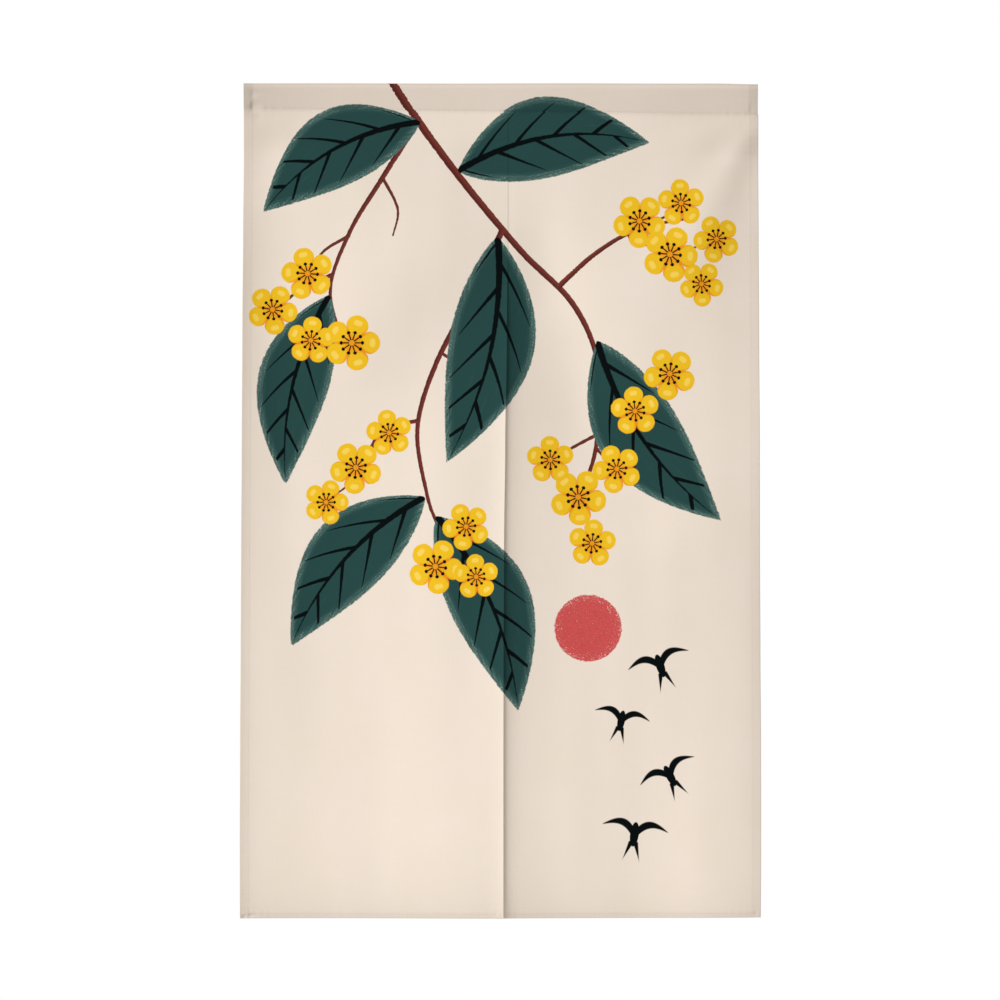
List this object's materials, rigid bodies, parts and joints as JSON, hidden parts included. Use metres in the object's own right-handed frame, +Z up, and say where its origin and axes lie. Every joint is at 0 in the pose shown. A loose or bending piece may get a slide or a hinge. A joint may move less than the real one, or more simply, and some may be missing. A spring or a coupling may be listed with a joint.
{
  "type": "noren curtain",
  "caption": "Split doorway curtain of pale linen-like cloth in two hemmed panels, the left flap over the right, under an open rod sleeve.",
  "frame": {"origin": "middle of the top edge, in the middle of the sleeve's depth", "axes": "+X to the viewer's right along the heading, +Y away from the viewer, +Z up"},
  "size_m": [0.8124, 0.0534, 1.3],
  "materials": {
    "panel_cloth": "matt plain-woven cotton and linen blend, printed",
    "heading_cloth": "the same cloth folded double and stitched down",
    "thread": "matt sewing thread"
  },
  "bodies": {
    "root": {"heading_sleeve": "heading_cloth", "left_panel": "panel_cloth", "right_panel": "panel_cloth"}
  },
  "joints": []
}
